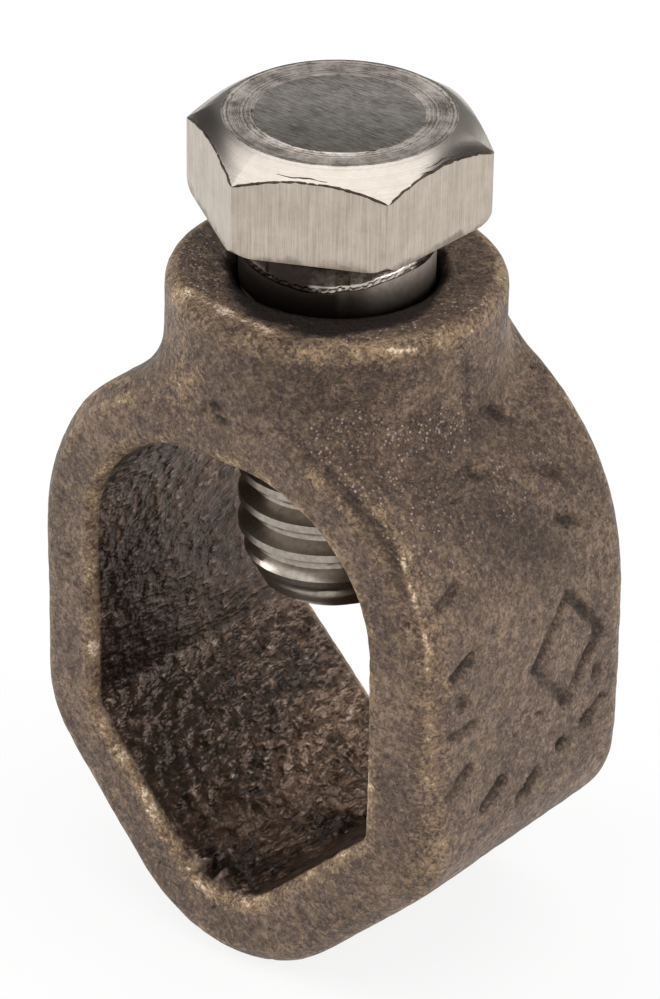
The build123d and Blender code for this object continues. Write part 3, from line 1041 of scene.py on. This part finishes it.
    # the hollow share: soot and painted shade inside the opening and round the mouth, and darkening in the
    # marks, the sink hole, the flash, the dark streaks and the valleys
    valley = smoothStep(-proud, *c["valleySpan"])
    hollow = np.maximum.reduce([core * sootAndShade + 0.2 * valley, 1.15 * mouth, 0.95 * mark, sink,
                                1.1 * flash * inside, dark + 0.15 * valley])
    hollow = np.clip(hollow * (1 - 0.8 * worn), 0, c["hollowMost"])
    granular = streakShare(places / mm, granularStreaks)
    for name, values in (("worn", worn), ("hollow", hollow), ("core", core), ("granular", granular)):
        mesh.attributes.new(name, "FLOAT", "POINT").data.foreach_set("value", values.astype(np.float32))
    for polygon in mesh.polygons:
        polygon.use_smooth = True
    mesh.update()
    print("casting triangles", sum(len(p.vertices) - 2 for p in mesh.polygons))
    return finishedPiece("bronzeCasting", mesh, [sandCastBronze], "body")


bronzeCasting = makeCasting(casting)
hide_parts("clamp_body")
print("stage: casting")

# Studio: pale floor, a wide overhead softbox, two side ones and one behind, and grey cards that the
# bright metal mirrors; each lamp and card has its place, size, and power or colour
studio = {
    "floorSize": 3.0,
    "floorColour": "#f4f4f4",
    "floorGlow": 1.05,
    "floorGlowShare": 0.8,
    "worldStrength": 0.40,
    "middle": (0, 0, 12 * mm),
    "lamps": [
        ("overheadSoftbox", (0.02, -0.03, 0.46), 0.80, 1.45),
        ("leftSoftbox", (-0.42, -0.24, 0.20), 0.22, 0.85),
        ("rightSoftbox", (0.44, 0.06, 0.16), 0.18, 0.55),
        ("rearSoftbox", (0.26, 0.36, 0.12), 0.22, 0.45),
    ],
    "cards": [
        ("backCard", (-0.22, 0.28, 0.16), 0.36, "#8a8a8a"),
        ("leftCard", (-0.36, 0.08, 0.15), 0.28, "#404040"),
        ("rightCard", (0.14, 0.36, 0.22), 0.34, "#303030"),
    ],
}


# 1 where the background is seen by the camera, mirrored or looked at through something
def seenShare(tree):
    path = addNode(tree, "ShaderNodeLightPath")
    mirrored = addNode(tree, "ShaderNodeMath", largest, None,
                       {0: path.outputs["Is Camera Ray"], 1: path.outputs["Is Glossy Ray"]})
    seen = addNode(tree, "ShaderNodeMath", largest, None,
                   {0: mirrored, 1: path.outputs["Is Transmission Ray"]})
    return seen


def makeSheet(name, size, place, material):
    bm = bmesh.new()
    bmesh.ops.create_grid(bm, x_segments=1, y_segments=1, size=size / 2, matrix=place)
    sheet = newObject(name, meshOf(bm, name))
    sheet.data.materials.append(material)
    return sheet


def makeStudio(s):
    scene = bpy.context.scene
    scene.view_settings.view_transform = "Standard"
    middle = Vector(s["middle"])
    material, tree = newMaterial("paleFloor")
    share = addNode(tree, "ShaderNodeMath", times, {1: s["floorGlowShare"]}, {0: seenShare(tree)})
    matt = addNode(tree, "ShaderNodeBsdfDiffuse", None, {"Color": linearColour(s["floorColour"])})
    white = addNode(tree, "ShaderNodeEmission", None, {"Strength": s["floorGlow"]})
    mixed = addNode(tree, "ShaderNodeMixShader", None, None, {0: share, 1: matt, 2: white})
    addNode(tree, "ShaderNodeOutputMaterial", None, None, {"Surface": mixed})
    floor = makeSheet("paleFloor", s["floorSize"], Matrix.Translation((0, 0, bodyLow.z)), material)
    for name, place, size, colour in s["cards"]:
        material, tree = newMaterial(name)
        grey = addNode(tree, "ShaderNodeBsdfDiffuse", None, {"Color": linearColour(colour)})
        addNode(tree, "ShaderNodeOutputMaterial", None, None, {"Surface": grey})
        turn = (middle - Vector(place)).to_track_quat("-Z", "Y").to_matrix().to_4x4()
        card = makeSheet(name, size, Matrix.Translation(place) @ turn, material)
        card.visible_camera = card.visible_shadow = card.visible_diffuse = False
    scene.world = bpy.data.worlds.new("studio")
    scene.world.use_nodes = True
    tree = scene.world.node_tree
    tree.nodes.clear()
    strength = addNode(tree, "ShaderNodeMapRange", None, {"To Min": s["worldStrength"], "To Max": 1.0},
                       {"Value": seenShare(tree)})
    sky = addNode(tree, "ShaderNodeBackground", None, {"Color": (1, 1, 1, 1)}, {"Strength": strength})
    addNode(tree, "ShaderNodeOutputWorld", None, None, {"Surface": sky})
    for name, place, size, power in s["lamps"]:
        data = bpy.data.lights.new(name, "AREA")
        data.shape = "SQUARE"
        data.size = size
        data.energy = power
        lamp = newObject(name, data)
        lamp.location = place
        lamp.rotation_mode = "QUATERNION"
        lamp.rotation_quaternion = (middle - Vector(place)).to_track_quat("-Z", "Y")


makeStudio(studio)
print("stage: studio")
